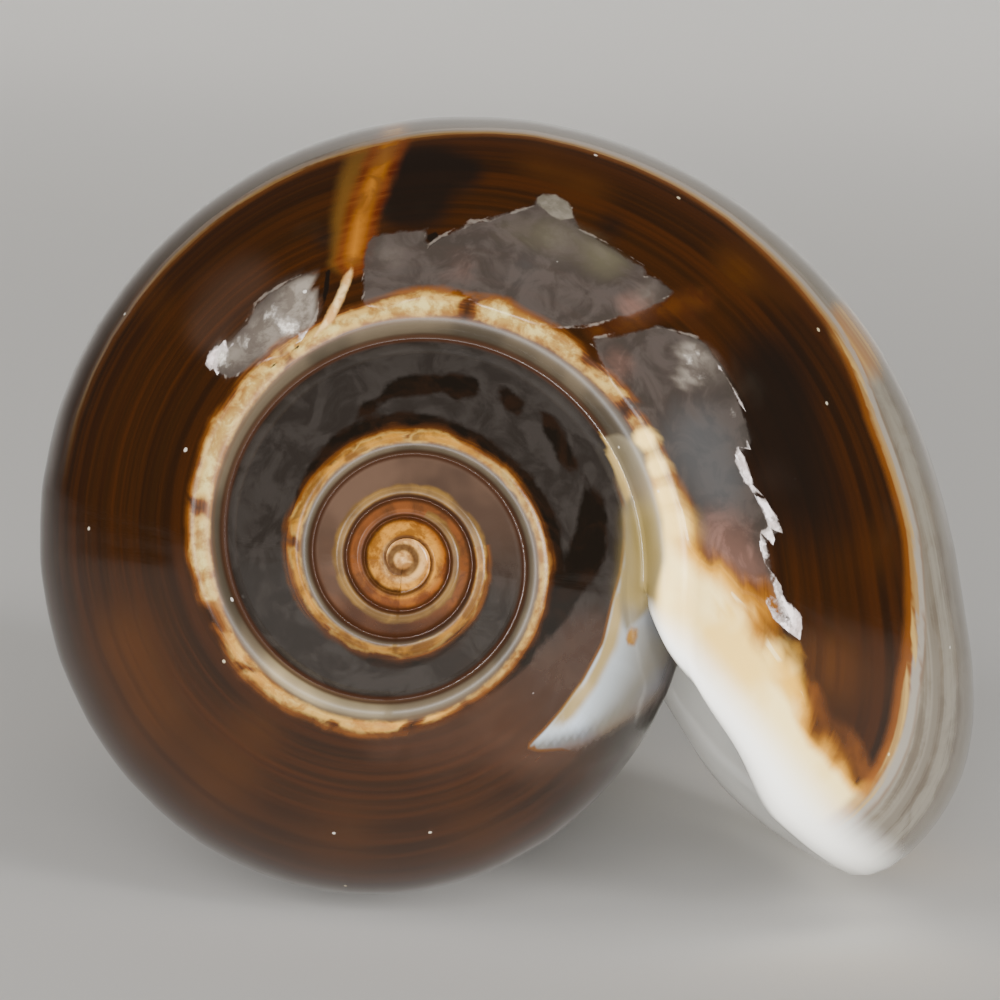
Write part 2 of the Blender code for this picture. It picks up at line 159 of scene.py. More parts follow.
# Soft spots: (right, up, size, strength).
SPOTS = {
    # Painted reflection: silver patches where lamps would mirror in the film.
    "painted_reflection": [
        (-2.2, 5.8, 0.5, 1.0), (-2.2, 5.2, 0.5, 0.6), (-3.0, 4.9, 0.6, 0.7), (-3.8, 4.4, 0.5, 0.6),
        (3.4, 7.0, 0.7, 0.3), (-0.3, 6.6, 0.5, 0.35), (6.2, 4.5, 0.28, 0.9), (6.1, 3.9, 0.22, 0.9),
        (6.7, 4.2, 0.5, 0.4), (5.3, 5.8, 0.4, 0.4),
    ],
    "crusty": [
        (-4.2, 4.3, 0.35, 1.0), (-3.8, 4.5, 0.35, 0.9), (-2.4, 5.0, 0.35, 0.9), (-3.1, 5.2, 0.4, 0.5),
        (6.8, 4.2, 0.4, 0.6), (7.2, 3.5, 0.5, 0.6), (7.4, 2.8, 0.4, 0.5), (7.3, 2.2, 0.45, 0.9),
        (7.5, 1.7, 0.4, 0.7), (7.9, 1.1, 0.35, 1.1), (8.1, 0.6, 0.35, 1.0), (7.6, 0.6, 0.3, 0.7),
        (8.1, -0.1, 0.4, 0.8), (8.1, -0.8, 0.4, 0.7), (7.8, 0.2, 0.3, 0.8), (8.35, -1.2, 0.3, 1.0),
        (8.6, -1.6, 0.3, 1.0), (8.4, -1.4, 0.2, 0.35), (3.65, 7.45, 0.15, 0.5),
    ],
    "rosy": [
        (6.8, 0.4, 0.9, 0.8), (7.4, -0.4, 0.6, 0.9), (-2.7, 4.5, 0.4, 0.8), (3.0, -2.8, 1.2, 0.8),
        (4.2, -1.9, 1.0, 0.8), (2.1, -3.7, 1.1, 0.7), (0.6, -4.0, 0.8, 0.6), (-0.5, -3.9, 0.6, 0.5),
        (3.1, -3.9, 0.8, 0.7), (4.6, 4.2, 0.5, 0.7), (1.2, 6.3, 0.7, 0.4), (5.0, 5.5, 0.5, 0.7),
    ],
    "haze": [
        (-3.9, 5.6, 0.9, 0.8), (-3.3, 6.2, 0.6, 0.5), (-4.3, 4.9, 0.5, 0.7), (6.3, 5.2, 0.5, 0.3),
        (8.0, 1.8, 0.6, 0.35),
    ],
    "black": [
        (-0.1, 8.5, 0.6, 0.9), (0.7, 8.6, 0.6, 0.9), (1.4, 8.5, 0.4, 0.7), (0.4, 7.7, 0.6, 0.9),
        (-0.2, 7.7, 0.4, 0.9), (8.2, 2.8, 1.4, 0.8), (8.0, 4.4, 1.1, 0.6), (8.9, 1.0, 1.3, 0.6),
        (4.5, 7.3, 0.4, 0.6), (-1.7, 7.0, 0.4, 0.6), (3.4, -5.3, 0.8, 0.5),
    ],
    # Painted glow: amber where light would shine through the thin shell.
    "glow": [
        (-6.2, -1.8, 1.2, 0.7), (-5.6, -3.5, 1.2, 0.6), (-4.0, -5.0, 1.2, 0.6), (-1.4, -6.1, 1.4, 0.5),
        (1.6, -5.9, 1.2, 0.5), (-3.1, -3.5, 0.9, 0.5), (-5.6, 5.7, 0.7, 0.5), (4.0, 8.2, 0.8, 0.6),
        (2.9, 8.8, 0.7, 0.6), (7.4, 6.4, 0.8, 0.9), (10.0, -2.7, 1.1, 0.6), (10.5, 0.2, 0.9, 0.5),
        (9.1, -2.2, 0.8, 0.7), (-4.7, 5.0, 0.5, 0.3), (8.6, 5.9, 0.5, 0.6),
    ],
    "ochre": [(10.1, 5.0, 0.6, 1.0), (9.8, 5.5, 0.4, 0.6), (10.3, 4.2, 0.5, 0.6), (-0.3, 9.6, 0.4, 0.7)],
    "stain": [
        (5.2, 2.6, 0.25, 0.9), (5.45, 2.0, 0.25, 0.9), (5.65, 1.4, 0.25, 0.8), (5.8, 0.8, 0.3, 0.7),
        (8.2, -2.3, 0.4, 1.0), (8.5, -2.9, 0.3, 0.7), (7.0, -1.2, 0.22, 0.8), (6.2, -0.8, 0.6, 0.35),
        (6.1, 0.6, 0.6, 0.3), (7.6, -1.9, 0.5, 0.2),
    ],
    "olive": [(5.15, 0.9, 0.5, 0.7), (5.2, 0.1, 0.5, 0.9), (5.05, -0.7, 0.5, 0.9)],
    "umber": [(-0.1, -1.6, 0.6, 1.0), (-1.1, -1.25, 0.5, 0.8), (0.9, -1.4, 0.5, 0.8), (-1.7, -0.4, 0.4, 0.4)],
    "ashy": [(-2.3, -2.65, 0.9, 1.0), (-0.8, -3.3, 0.8, 0.6)],
    "green": [(4.4, 6.7, 0.7, 0.9), (3.1, 7.1, 0.6, 0.6), (2.2, 7.2, 0.5, 0.4)],
    "blue": [(6.4, 2.6, 1.0, 0.9), (6.9, 1.4, 0.8, 0.7), (2.6, 6.2, 0.8, 0.4), (0.0, 6.2, 0.7, 0.3)],
    "golden": [(0.3, -3.7, 1.6, 1.0), (-3.4, -2.2, 1.2, 0.5)],
    "brown": [(-1.4, -1.7, 0.6, 0.7), (0.0, -2.0, 0.8, 1.0), (1.3, -1.7, 0.6, 0.7)],
    # Painted glints: near-white specks of highlight on the film.
    "painted_glint": [
        (-3.5, 4.7, 0.2, 0.4), (-2.5, 5.0, 0.3, 0.5), (-4.0, 4.4, 0.25, 0.6), (-2.9, 5.4, 0.25, 0.4),
        (6.2, 4.4, 0.25, 0.4), (6.5, 3.9, 0.2, 0.3), (7.2, 3.0, 0.3, 0.25),
    ],
    "honey": [
        (4.95, -1.6, 0.14, 1.0), (4.9, -1.8, 0.12, 0.9), (7.95, -1.55, 0.25, 0.6), (8.5, -2.1, 0.35, 0.8),
    ],
}

# Along the turns: (age, edge in ridge widths) of the cream band and of the grey slope inside it,
# and the breaks in the cream (age, half width in millimetres, how far across it they reach).
CREAM_EDGE = [
    (0.0, 0.8), (0.09, 0.98), (0.145, 0.85), (0.16, 1.06), (0.22, 1.02), (0.35, 0.97), (0.435, 1.05),
    (0.5, 0.92), (0.6, 1.12), (0.68, 1.14), (0.77, 1.28), (0.84, 0.9), (1.18, 1.0), (1.27, 1.18),
    (1.52, 1.36), (1.77, 1.14), (2.0, 1.08), (4.75, 1.0),
]
SLOPE_EDGE = [
    (0.0, 0.42), (0.1, 0.54), (0.185, 0.45), (0.27, 0.41), (0.35, 0.34), (0.435, 0.28), (0.52, 0.3),
    (0.6, 0.55), (0.685, 0.69), (0.77, 0.71), (0.86, 0.62), (1.0, 0.5), (1.27, 0.47), (1.52, 0.58),
    (1.77, 0.43), (2.0, 0.3), (4.75, 0.0),
]
CREAM_BREAKS = [
    (0.113, 0.22, 1.0), (0.15, 0.12, 0.45), (0.229, 0.16, 1.0), (0.352, 0.06, 1.0), (0.478, 0.16, 0.9),
    (0.565, 0.3, 0.6), (0.615, 0.1, 0.8), (0.707, 0.08, 0.5), (0.779, 0.16, 1.0), (1.262, 0.05, 0.7),
    (1.34, 0.03, 0.4), (1.497, 0.1, 0.9), (1.64, 0.1, 0.6),
]
CRESCENT = [
    (0.8, -1.0), (0.86, 0.1), (0.95, 0.32), (1.05, 0.38), (1.15, 0.3), (1.2, 0.35), (1.27, 0.5), (1.35, 0.5),
    (1.45, 0.2), (1.52, -0.2), (1.62, -0.2), (1.68, 0.2), (1.76, 0.38), (1.85, 0.25), (2.0, 0.1),
]
# The pale thread on the shoulder, partly a painted highlight line.
THREAD = [
    (0.0, 1.57), (0.03, 1.58), (0.053, 1.632), (0.075, 1.662), (0.107, 1.655), (0.137, 1.717), (0.2, 1.755),
    (0.25, 1.765), (0.31, 1.721), (0.416, 1.685), (1.0, 1.7),
]
LIP_BORDER = [(2.0, 1.0), (2.2, 0.9), (2.5, 1.1), (2.8, 1.3), (3.0, 1.6)]
# The places where the markings and the soft spots of the face end, the dark bands (place, half
# width) past them, and the ages that bound each kind of marking.
FACE_END, SPOTS_END, SPIRAL_BANDS = 2.4, 2.14, [(2.22, 0.06), (2.56, 0.07)]
FILMED_TURN, LAST_TURN, EARLY_TURNS, SLOPE_END, CREAM_END = 0.8, 0.9, 0.7, 1.95, 2.05
REST_ROLL, REST_PITCH = -3.6, -4.9
# How closely the shell fills the box of its solid, and its height off the floor in metres.
FIT, LIFT = 0.9995, 0.00001

# The fine mesh: columns in a turn, and rows in each part of the outline.
COLUMNS = 240
LIP_COLUMN = round(TURNS * COLUMNS)
CHAMBER_COLUMN = LIP_COLUMN - COLUMNS
PILLAR_COLUMN = CHAMBER_COLUMN - COLUMNS
RIDGE_ROWS, SHOULDER_ROWS, FOOT_ROWS, ROUND_ROWS, SIDE_ROWS, BAND_ROWS, FRONT_ROWS = 10, 18, 3, 16, 20, 3, 9
SUTURE_ROW = RIDGE_ROWS + SHOULDER_ROWS
FOOT_ROW = SUTURE_ROW + FOOT_ROWS
WIDEST_ROW = FOOT_ROW + ROUND_ROWS
LAST_ROW = WIDEST_ROW + SIDE_ROWS + BAND_ROWS + FRONT_ROWS
RIM_ROWS, DISC_ROWS = 9, 7


def spline(stations):
    """The smooth curve through given stations, as a function of age."""
    ages, values = np.array(stations).T
    gaps = np.diff(ages)
    slopes = np.diff(values) / gaps
    inner = np.arange(1, len(ages) - 1)
    matrix = np.eye(len(ages))
    matrix[inner, inner - 1] = gaps[:-1]
    matrix[inner, inner] = 2.0 * (gaps[:-1] + gaps[1:])
    matrix[inner, inner + 1] = gaps[1:]
    changes = np.zeros(len(ages))
    changes[inner] = 6.0 * np.diff(slopes)
    bends = np.linalg.solve(matrix, changes)

    def value_at(age):
        i = np.clip(np.searchsorted(ages, age) - 1, 0, len(gaps) - 1)
        near = (age - ages[i]) / gaps[i]
        far = 1.0 - near
        bow = (far**3 - far) * bends[i] + (near**3 - near) * bends[i + 1]
        return far * values[i] + near * values[i + 1] + bow * gaps[i] ** 2 / 6.0

    return value_at


suture_radius = spline(SUTURE_RADIUS)
side_radius = spline(SIDE_RADIUS)
front_radius = spline(FRONT_RADIUS)
front_edge = spline(FRONT_DEPTH)
band_depth = spline(BAND_DEPTH)


def ease(share):
    share = np.clip(share, 0.0, 1.0)
    return share * share * (3.0 - 2.0 * share)


def front_depth(age):
    """Where the whorl ends in front, with the notch cut into it."""
    across = (age - NOTCH_AGE) / NOTCH_HALF_WIDTH
    return front_edge(age) - NOTCH_DEPTH * np.exp(-(across**4))


def shoulder(age, suture_depth, share):
    """(radius, depth) on the shoulder, from the ridge's foot (0) to the widest place (1)."""
    root = suture_radius(age)
    inner = root * (1.0 + RIDGE_WIDTH)
    top = suture_depth - root * RIDGE_FOOT_HEIGHT
    width = side_radius(age) - inner
    rest = 1.0 - share
    first = 3.0 * rest * rest * share * SHOULDER_REACH
    second = 3.0 * rest * share * share
    last = share**3
    slope = math.tan(math.radians(SHOULDER_SLOPE))
    radius = inner + width * (first + second + last)
    depth = top + width * (slope * first + SHOULDER_DEPTH * (0.5 * second + last))
    return radius, depth


def share_at_radius(age, suture_depth, radius):
    """The share of the shoulder at which it has this radius, by halving."""
    low, high = np.zeros_like(age), np.ones_like(age)
    for _ in range(40):
        middle = 0.5 * (low + high)
        short = shoulder(age, suture_depth, middle)[0] < radius
        low = np.where(short, middle, low)
        high = np.where(short, high, middle)
    return low


def lay_sutures():
    """The suture's depth at each column: every turn lies on the turn before it."""
    depths = np.zeros(LIP_COLUMN + 1)
    depths[:COLUMNS] = TIP_DEPTH + FIRST_DROP * np.arange(COLUMNS) / COLUMNS
    for start in range(COLUMNS, LIP_COLUMN + 1, COLUMNS):
        k = np.arange(start, min(start + COLUMNS, LIP_COLUMN + 1))
        age = (LIP_COLUMN - k) / COLUMNS
        under = depths[k - COLUMNS]
        share = share_at_radius(age + 1.0, under, suture_radius(age))
        depths[k] = shoulder(age + 1.0, under, share)[1]
    return depths


SUTURE_DEPTHS = lay_sutures()


def depth_at(age):
    """The suture's depth at any age, carried on in a straight line past the lip."""
    place = LIP_COLUMN - age * COLUMNS
    low = np.clip(np.floor(place).astype(int), 0, LIP_COLUMN - 1)
    return SUTURE_DEPTHS[low] + (place - low) * (SUTURE_DEPTHS[low + 1] - SUTURE_DEPTHS[low])


def lean_growth(age):
    """The growth lines lean forward more and more over the last turn."""
    return np.maximum(1.0 - age, 0.0) ** LEAN_GROWTH


def ridge_rows(age):
    """Rows from the suture's bottom over the rounded ridge to its outer foot."""
    share = np.arange(RIDGE_ROWS) / RIDGE_ROWS
    crest = RIDGE_CREST / RIDGE_WIDTH
    rise = RIDGE_HEIGHT * np.sin(0.5 * np.pi * np.clip(share / crest, 0.0, 1.0)) ** 1.2
    fall = (RIDGE_HEIGHT - RIDGE_FOOT_HEIGHT) * ease((share - crest) / (1.0 - crest)) ** 1.3
    root = suture_radius(age)[:, None]
    tip = ease((TURNS - age) / 0.4)[:, None]
    radius = root * (1.0 + RIDGE_WIDTH * share)
    depth = depth_at(age)[:, None] - root * (rise - fall) * tip
    return radius, depth, np.broadcast_to(age[:, None], radius.shape)


def shoulder_shares(age):
    """How far over the shoulder each row lies, bunched at the next turn's suture."""
    covered = share_at_radius(age, depth_at(age), suture_radius(age - 1.0))[:, None]
    foot = covered + FOOT_SHARE
    parts = [
        covered * np.arange(SHOULDER_ROWS) / SHOULDER_ROWS,
        covered + FOOT_SHARE * np.arange(FOOT_ROWS) / FOOT_ROWS,
        foot + (1.0 - foot) * np.arange(ROUND_ROWS + 1) / ROUND_ROWS,
    ]
    return np.concatenate(parts, axis=1)


def shoulder_rows(age):
    """Rows from the ridge's foot past the next turn's suture to the widest place."""
    share = shoulder_shares(age)
    lean = lean_growth(age)[:, None] * LIP_LEAN * (1.0 - (1.0 - share) ** SHOULDER_LEAN)
    leaning = age[:, None] - lean / 360.0
    radius, depth = shoulder(leaning, depth_at(leaning), share)
    return radius, depth, leaning


def side_rows(age, widest):
    """Rows down the long side, over the step of the raised band, to the front end."""
    leaning = age - lean_growth(age) * LIP_LEAN / 360.0
    end = front_depth(leaning)
    band = np.minimum(band_depth(leaning), end - BAND_MARGIN)
    side = np.linspace(0.0, 1.0, SIDE_ROWS + 1)[1:]
    step = np.linspace(0.0, 1.0, BAND_ROWS + 1)[1:]
    front = np.linspace(0.0, 1.0, FRONT_ROWS + 1)[1:]
    length = (band - widest)[:, None]
    rest = (end - band)[:, None] - BAND_SLOPE
    down = [length * side, length + BAND_SLOPE * step, length + BAND_SLOPE + rest * front]
    down = np.concatenate(down, axis=1)
    lift = np.concatenate([np.zeros(SIDE_ROWS), ease(step), np.ones(FRONT_ROWS)])
    lift = lift * BAND_STEP * np.clip((1.05 - age) / 0.1, 0.0, 1.0)[:, None]
    share = np.clip(down / (end - widest)[:, None], 0.0, 1.0)
    lean = LIP_LEAN + SIDE_LEAN * share * (1.0 - share) - FRONT_LEAN * share**6
    leaning = age[:, None] - lean_growth(age)[:, None] * lean / 360.0
    narrow = front_radius(leaning)
    hollow = 1.0 + WAIST * np.clip(leaning, 0.0, 1.0)
    radius = narrow + (side_radius(leaning) - narrow) * (1.0 - share**SIDE_CURVE) ** hollow
    return radius + lift, widest[:, None] + down, leaning


def outline(age):
    """The outside at each age: arrays of radius, depth and leaning age, a row for each place."""
    ridge = ridge_rows(age)
    across = shoulder_rows(age)
    down = side_rows(age, across[1][:, -1])
    return [np.concatenate(parts, axis=1) for parts in zip(ridge, across, down)]


def inside(age, outer, under):
    """The inside of the outer wall: its first row is the wall's foot, on the turn under it."""
    radius, depth, leaning = outer
    rows = np.arange(LAST_ROW + 1)
    before = np.maximum(rows - 1, 0)
    after = np.minimum(rows + 1, LAST_ROW)
    along_radius = radius[:, after] - radius[:, before]
    along_depth = depth[:, after] - depth[:, before]
    length = np.hypot(along_radius, along_depth)
    lip = LIP_THICKNESS * np.exp(-(((age + 0.02) / LIP_LENGTH) ** 2))
    thick = (WALL * (1.0 - 0.15 * age) + lip)[:, None]
    inner_radius = radius - thick * along_depth / length
    inner_depth = depth + thick * along_radius / length
    share = np.arange(SUTURE_ROW) / SUTURE_ROW
    closing = np.minimum((1.0 - age) / CHAMBER_END, 1.0)[:, None]
    opened = np.sqrt(closing * (2.0 - closing))
    match = np.maximum(rows, FOOT_ROW)
    for inner, below in ((inner_radius, under[0]), (inner_depth, under[1])):
        foot = below[:, FOOT_ROW][:, None]
        inner[:, :SUTURE_ROW] = foot + (inner[:, SUTURE_ROW][:, None] - foot) * share
        inner[:] = below[:, match] + (inner - below[:, match]) * opened
    return inner_radius, inner_depth, leaning


def lay_places(ages):
    """Where each row lies: 0 to 1 over the ridge, 1 to 2 over the shoulder, 2 to 3 down the side."""
    many = len(ages)
    parts = [
        np.tile(np.arange(RIDGE_ROWS) / RIDGE_ROWS, (many, 1)),
        1.0 + shoulder_shares(ages),
        np.tile(np.linspace(2.0, BAND_PLACE, SIDE_ROWS + 1)[1:], (many, 1)),
        np.tile(np.linspace(BAND_PLACE, 3.0, BAND_ROWS + FRONT_ROWS + 1)[1:], (many, 1)),
    ]
    return np.concatenate(parts, axis=1)


def wander(values, seed, knots):
    """A smooth line that wanders between -1 and 1, with so many bends in a turn."""
    heights = np.random.default_rng(seed).uniform(-1.0, 1.0, 8 * knots)
    place = (values + 1.0) * knots
    low = np.floor(place).astype(int)
    share = ease(place - low)
    return heights[low] * (1.0 - share) + heights[low + 1] * share


def relief(ages, places, depth):
    """How far the surface stands proud, in millimetres: growth ripples and pillar folds."""
    age = ages[:, None]
    ripples = sum(height * wander(age, seed, bends) for height, seed, bends in RIPPLES)
    ripples = ripples * ease((places - 1.0) / 0.15) * (0.35 + 0.65 * ease((1.2 - age) / 0.4))
    seam = np.exp(-(((places - places[:, [SUTURE_ROW]]) / 0.05) ** 2))
    ripples = ripples * (1.0 - seam * ease((age - 0.94) / 0.06))
    fold = 2.0 * np.pi * (depth + FOLD_SLANT * age) / FOLD_SPACING
    on_pillar = ease((age - 0.80) / 0.12) * ease((1.45 - age) / 0.2)
    along_pillar = ease((depth - 17.0) / 9.0) * ease((3.0 - places) / 0.03)
    on_front = ease((places - 2.84) / 0.02) * ease((0.9 - age) / 0.1) * ease((2.99 - places) / 0.03)
    folds = FOLD_HEIGHT * np.cos(fold) * on_pillar * along_pillar
    return ripples + folds + FRONT_FOLD_HEIGHT * np.cos(2.0 * fold) * on_front


def raise_outline(radius, depth, height):
    """The outline moved outwards, square to itself, by a height at each place."""
    along_radius = np.gradient(radius, axis=1)
    along_depth = np.gradient(depth, axis=1)
    length = np.maximum(np.hypot(along_radius, along_depth), 1e-9)
    return radius + height * along_depth / length, depth - height * along_radius / length


def in_space(radius, depth, leaning):
    """Points round the shell's axis, which runs back from the tip along Y."""
    turn = np.radians(LIP_ANGLE - 360.0 * leaning)
    return np.stack([radius * np.cos(turn), depth, -radius * np.sin(turn)], axis=-1)


def unit(vectors):
    return vectors / np.linalg.norm(vectors, axis=-1, keepdims=True)


def rim_rows(outside, inner, foot):
    """The rounded edge of the lip and the front end: from the outside round to the inside."""
    lip_ahead = unit(outside[-1] - outside[-2])
    front_ahead = unit(outside[-2::-1, -1] - outside[-2::-1, -2])
    lip_ahead[-1] = unit(lip_ahead[-1] + front_ahead[0])
    outer = np.concatenate([outside[-1], outside[-2::-1, -1]])
    inner = np.concatenate([inner[-1], inner[-2::-1, -1]])
    ahead = np.concatenate([lip_ahead, front_ahead])
    middle = 0.5 * (outer + inner)
    half = outer - middle
    reach = ahead * np.linalg.norm(half, axis=-1, keepdims=True) * LIP_ROUNDING
    turns = np.linspace(0.0, math.pi, RIM_ROWS + 1)
    points = [middle + half * math.cos(turn) + reach * math.sin(turn) for turn in turns]
    points[0], points[-1] = outer, inner
    points = np.stack(points, axis=1)
    points[0, 1:] = inner[0]
    points[0, : FOOT_ROWS + 1] = foot
    return points


def disc_rows(loop, middle):
    """Rings from a closed loop of points in to one middle point."""
    closed = np.concatenate([loop, loop[:1]])[:, None, :]
    share = np.linspace(0.0, 1.0, DISC_ROWS)[None, :, None]
    return closed * (1.0 - share) + np.array(middle) * share


def add_surface(name, points, age, leaning, place, mouth=0.0):
    """A grid added and then rolled into place, with the value of each field at its corners."""
    fields = markings(age, leaning, place, np.hypot(points[:, :, 0], points[:, :, 2]), mouth)
    columns, rows = points.shape[:2]
    bpy.ops.mesh.primitive_grid_add(x_subdivisions=columns - 1, y_subdivisions=rows - 1, size=1.0)
    surface = bpy.context.object
    surface.name = name
    mesh = surface.data
    flat = np.zeros(len(mesh.vertices) * 3)
    mesh.vertices.foreach_get("co", flat)
    column = np.rint((flat[0::3] + 0.5) * (columns - 1)).astype(int)
    row = np.rint((flat[1::3] + 0.5) * (rows - 1)).astype(int)
    mesh.vertices.foreach_set("co", (points[column, row] * MM).ravel())
    corner = np.zeros(len(mesh.loops), dtype=int)
    mesh.loops.foreach_get("vertex_index", corner)
    at_corner = {
        field: np.broadcast_to(values, (columns, rows))[column, row][corner].astype(np.float32)
        for field, values in fields.items()
    }
    mesh.uv_layers[0].name = "growth"
    growth = np.stack([at_corner["turn"], at_corner["place"]], axis=-1)
    mesh.uv_layers["growth"].uv.foreach_set("vector", growth.ravel())
    for field, values in at_corner.items():
        mesh.attributes.new(field, "FLOAT", "CORNER").data.foreach_set("value", values)
    mesh.update()
    return surface


def patch(right, up, outline):
    """How far inside a closed outline each point lies, in millimetres; outside it is negative."""
    distance = line_distance(right, up, outline + outline[:1])
    within = np.zeros(right.shape, dtype=bool)
    for (x0, y0), (x1, y1) in zip(outline, outline[1:] + outline[:1]):
        beside = right < x0 + (up - y0) * (x1 - x0) / (y1 - y0 if y1 != y0 else 1.0)
        within ^= ((y0 > up) != (y1 > up)) & beside
    return np.where(within, distance, -distance)


def line_distance(right, up, line):
    """The distance in millimetres from a line through a few places."""
    distance = np.full(right.shape, np.inf)
    for (x0, y0), (x1, y1) in zip(line, line[1:]):
        along = ((right - x0) * (x1 - x0) + (up - y0) * (y1 - y0)) / ((x1 - x0) ** 2 + (y1 - y0) ** 2)
        along = np.clip(along, 0.0, 1.0)
        there = np.hypot(right - x0 - along * (x1 - x0), up - y0 - along * (y1 - y0))
        distance = np.minimum(distance, there)
    return distance


def spots(right, up, places):
    """Soft round spots, each (right, up, size in millimetres, strength), added together."""
    total = np.zeros(right.shape)
    for x, y, size, strength in places:
        total += strength * np.exp(-((right - x) ** 2 + (up - y) ** 2) / size**2)
    return total


def follow(ages, stations):
    """The value at each age, in straight lines from station to station."""
    return np.interp(ages, *zip(*stations))


def cream_band(age, ridge, root):
    """How far inside the cream band of the ridge each point lies, in millimetres."""
    ridge = np.clip(ridge, -0.9, 3.0)
    width = RIDGE_WIDTH * root
    outer = follow(age, CREAM_EDGE) + 0.11 * wander(age, 11, 22) + 0.07 * wander(age, 12, 60)
    inner = follow(age, SLOPE_EDGE) + 0.10
    cream = width * np.minimum(1.3 * (ridge - inner), outer - ridge)
    for break_age, half_width, reach in CREAM_BREAKS:
        slant = 0.10 * (ridge - 0.7) + 0.05 * wander(ridge, 21, 9)
        beside = np.abs((age - break_age) * 2.0 * np.pi * root + slant) - half_width
        past = width * (outer - (outer - inner) * reach - ridge) if reach < 1.0 else -1.0
        cream = np.minimum(cream, np.maximum(beside, past))
    return cream


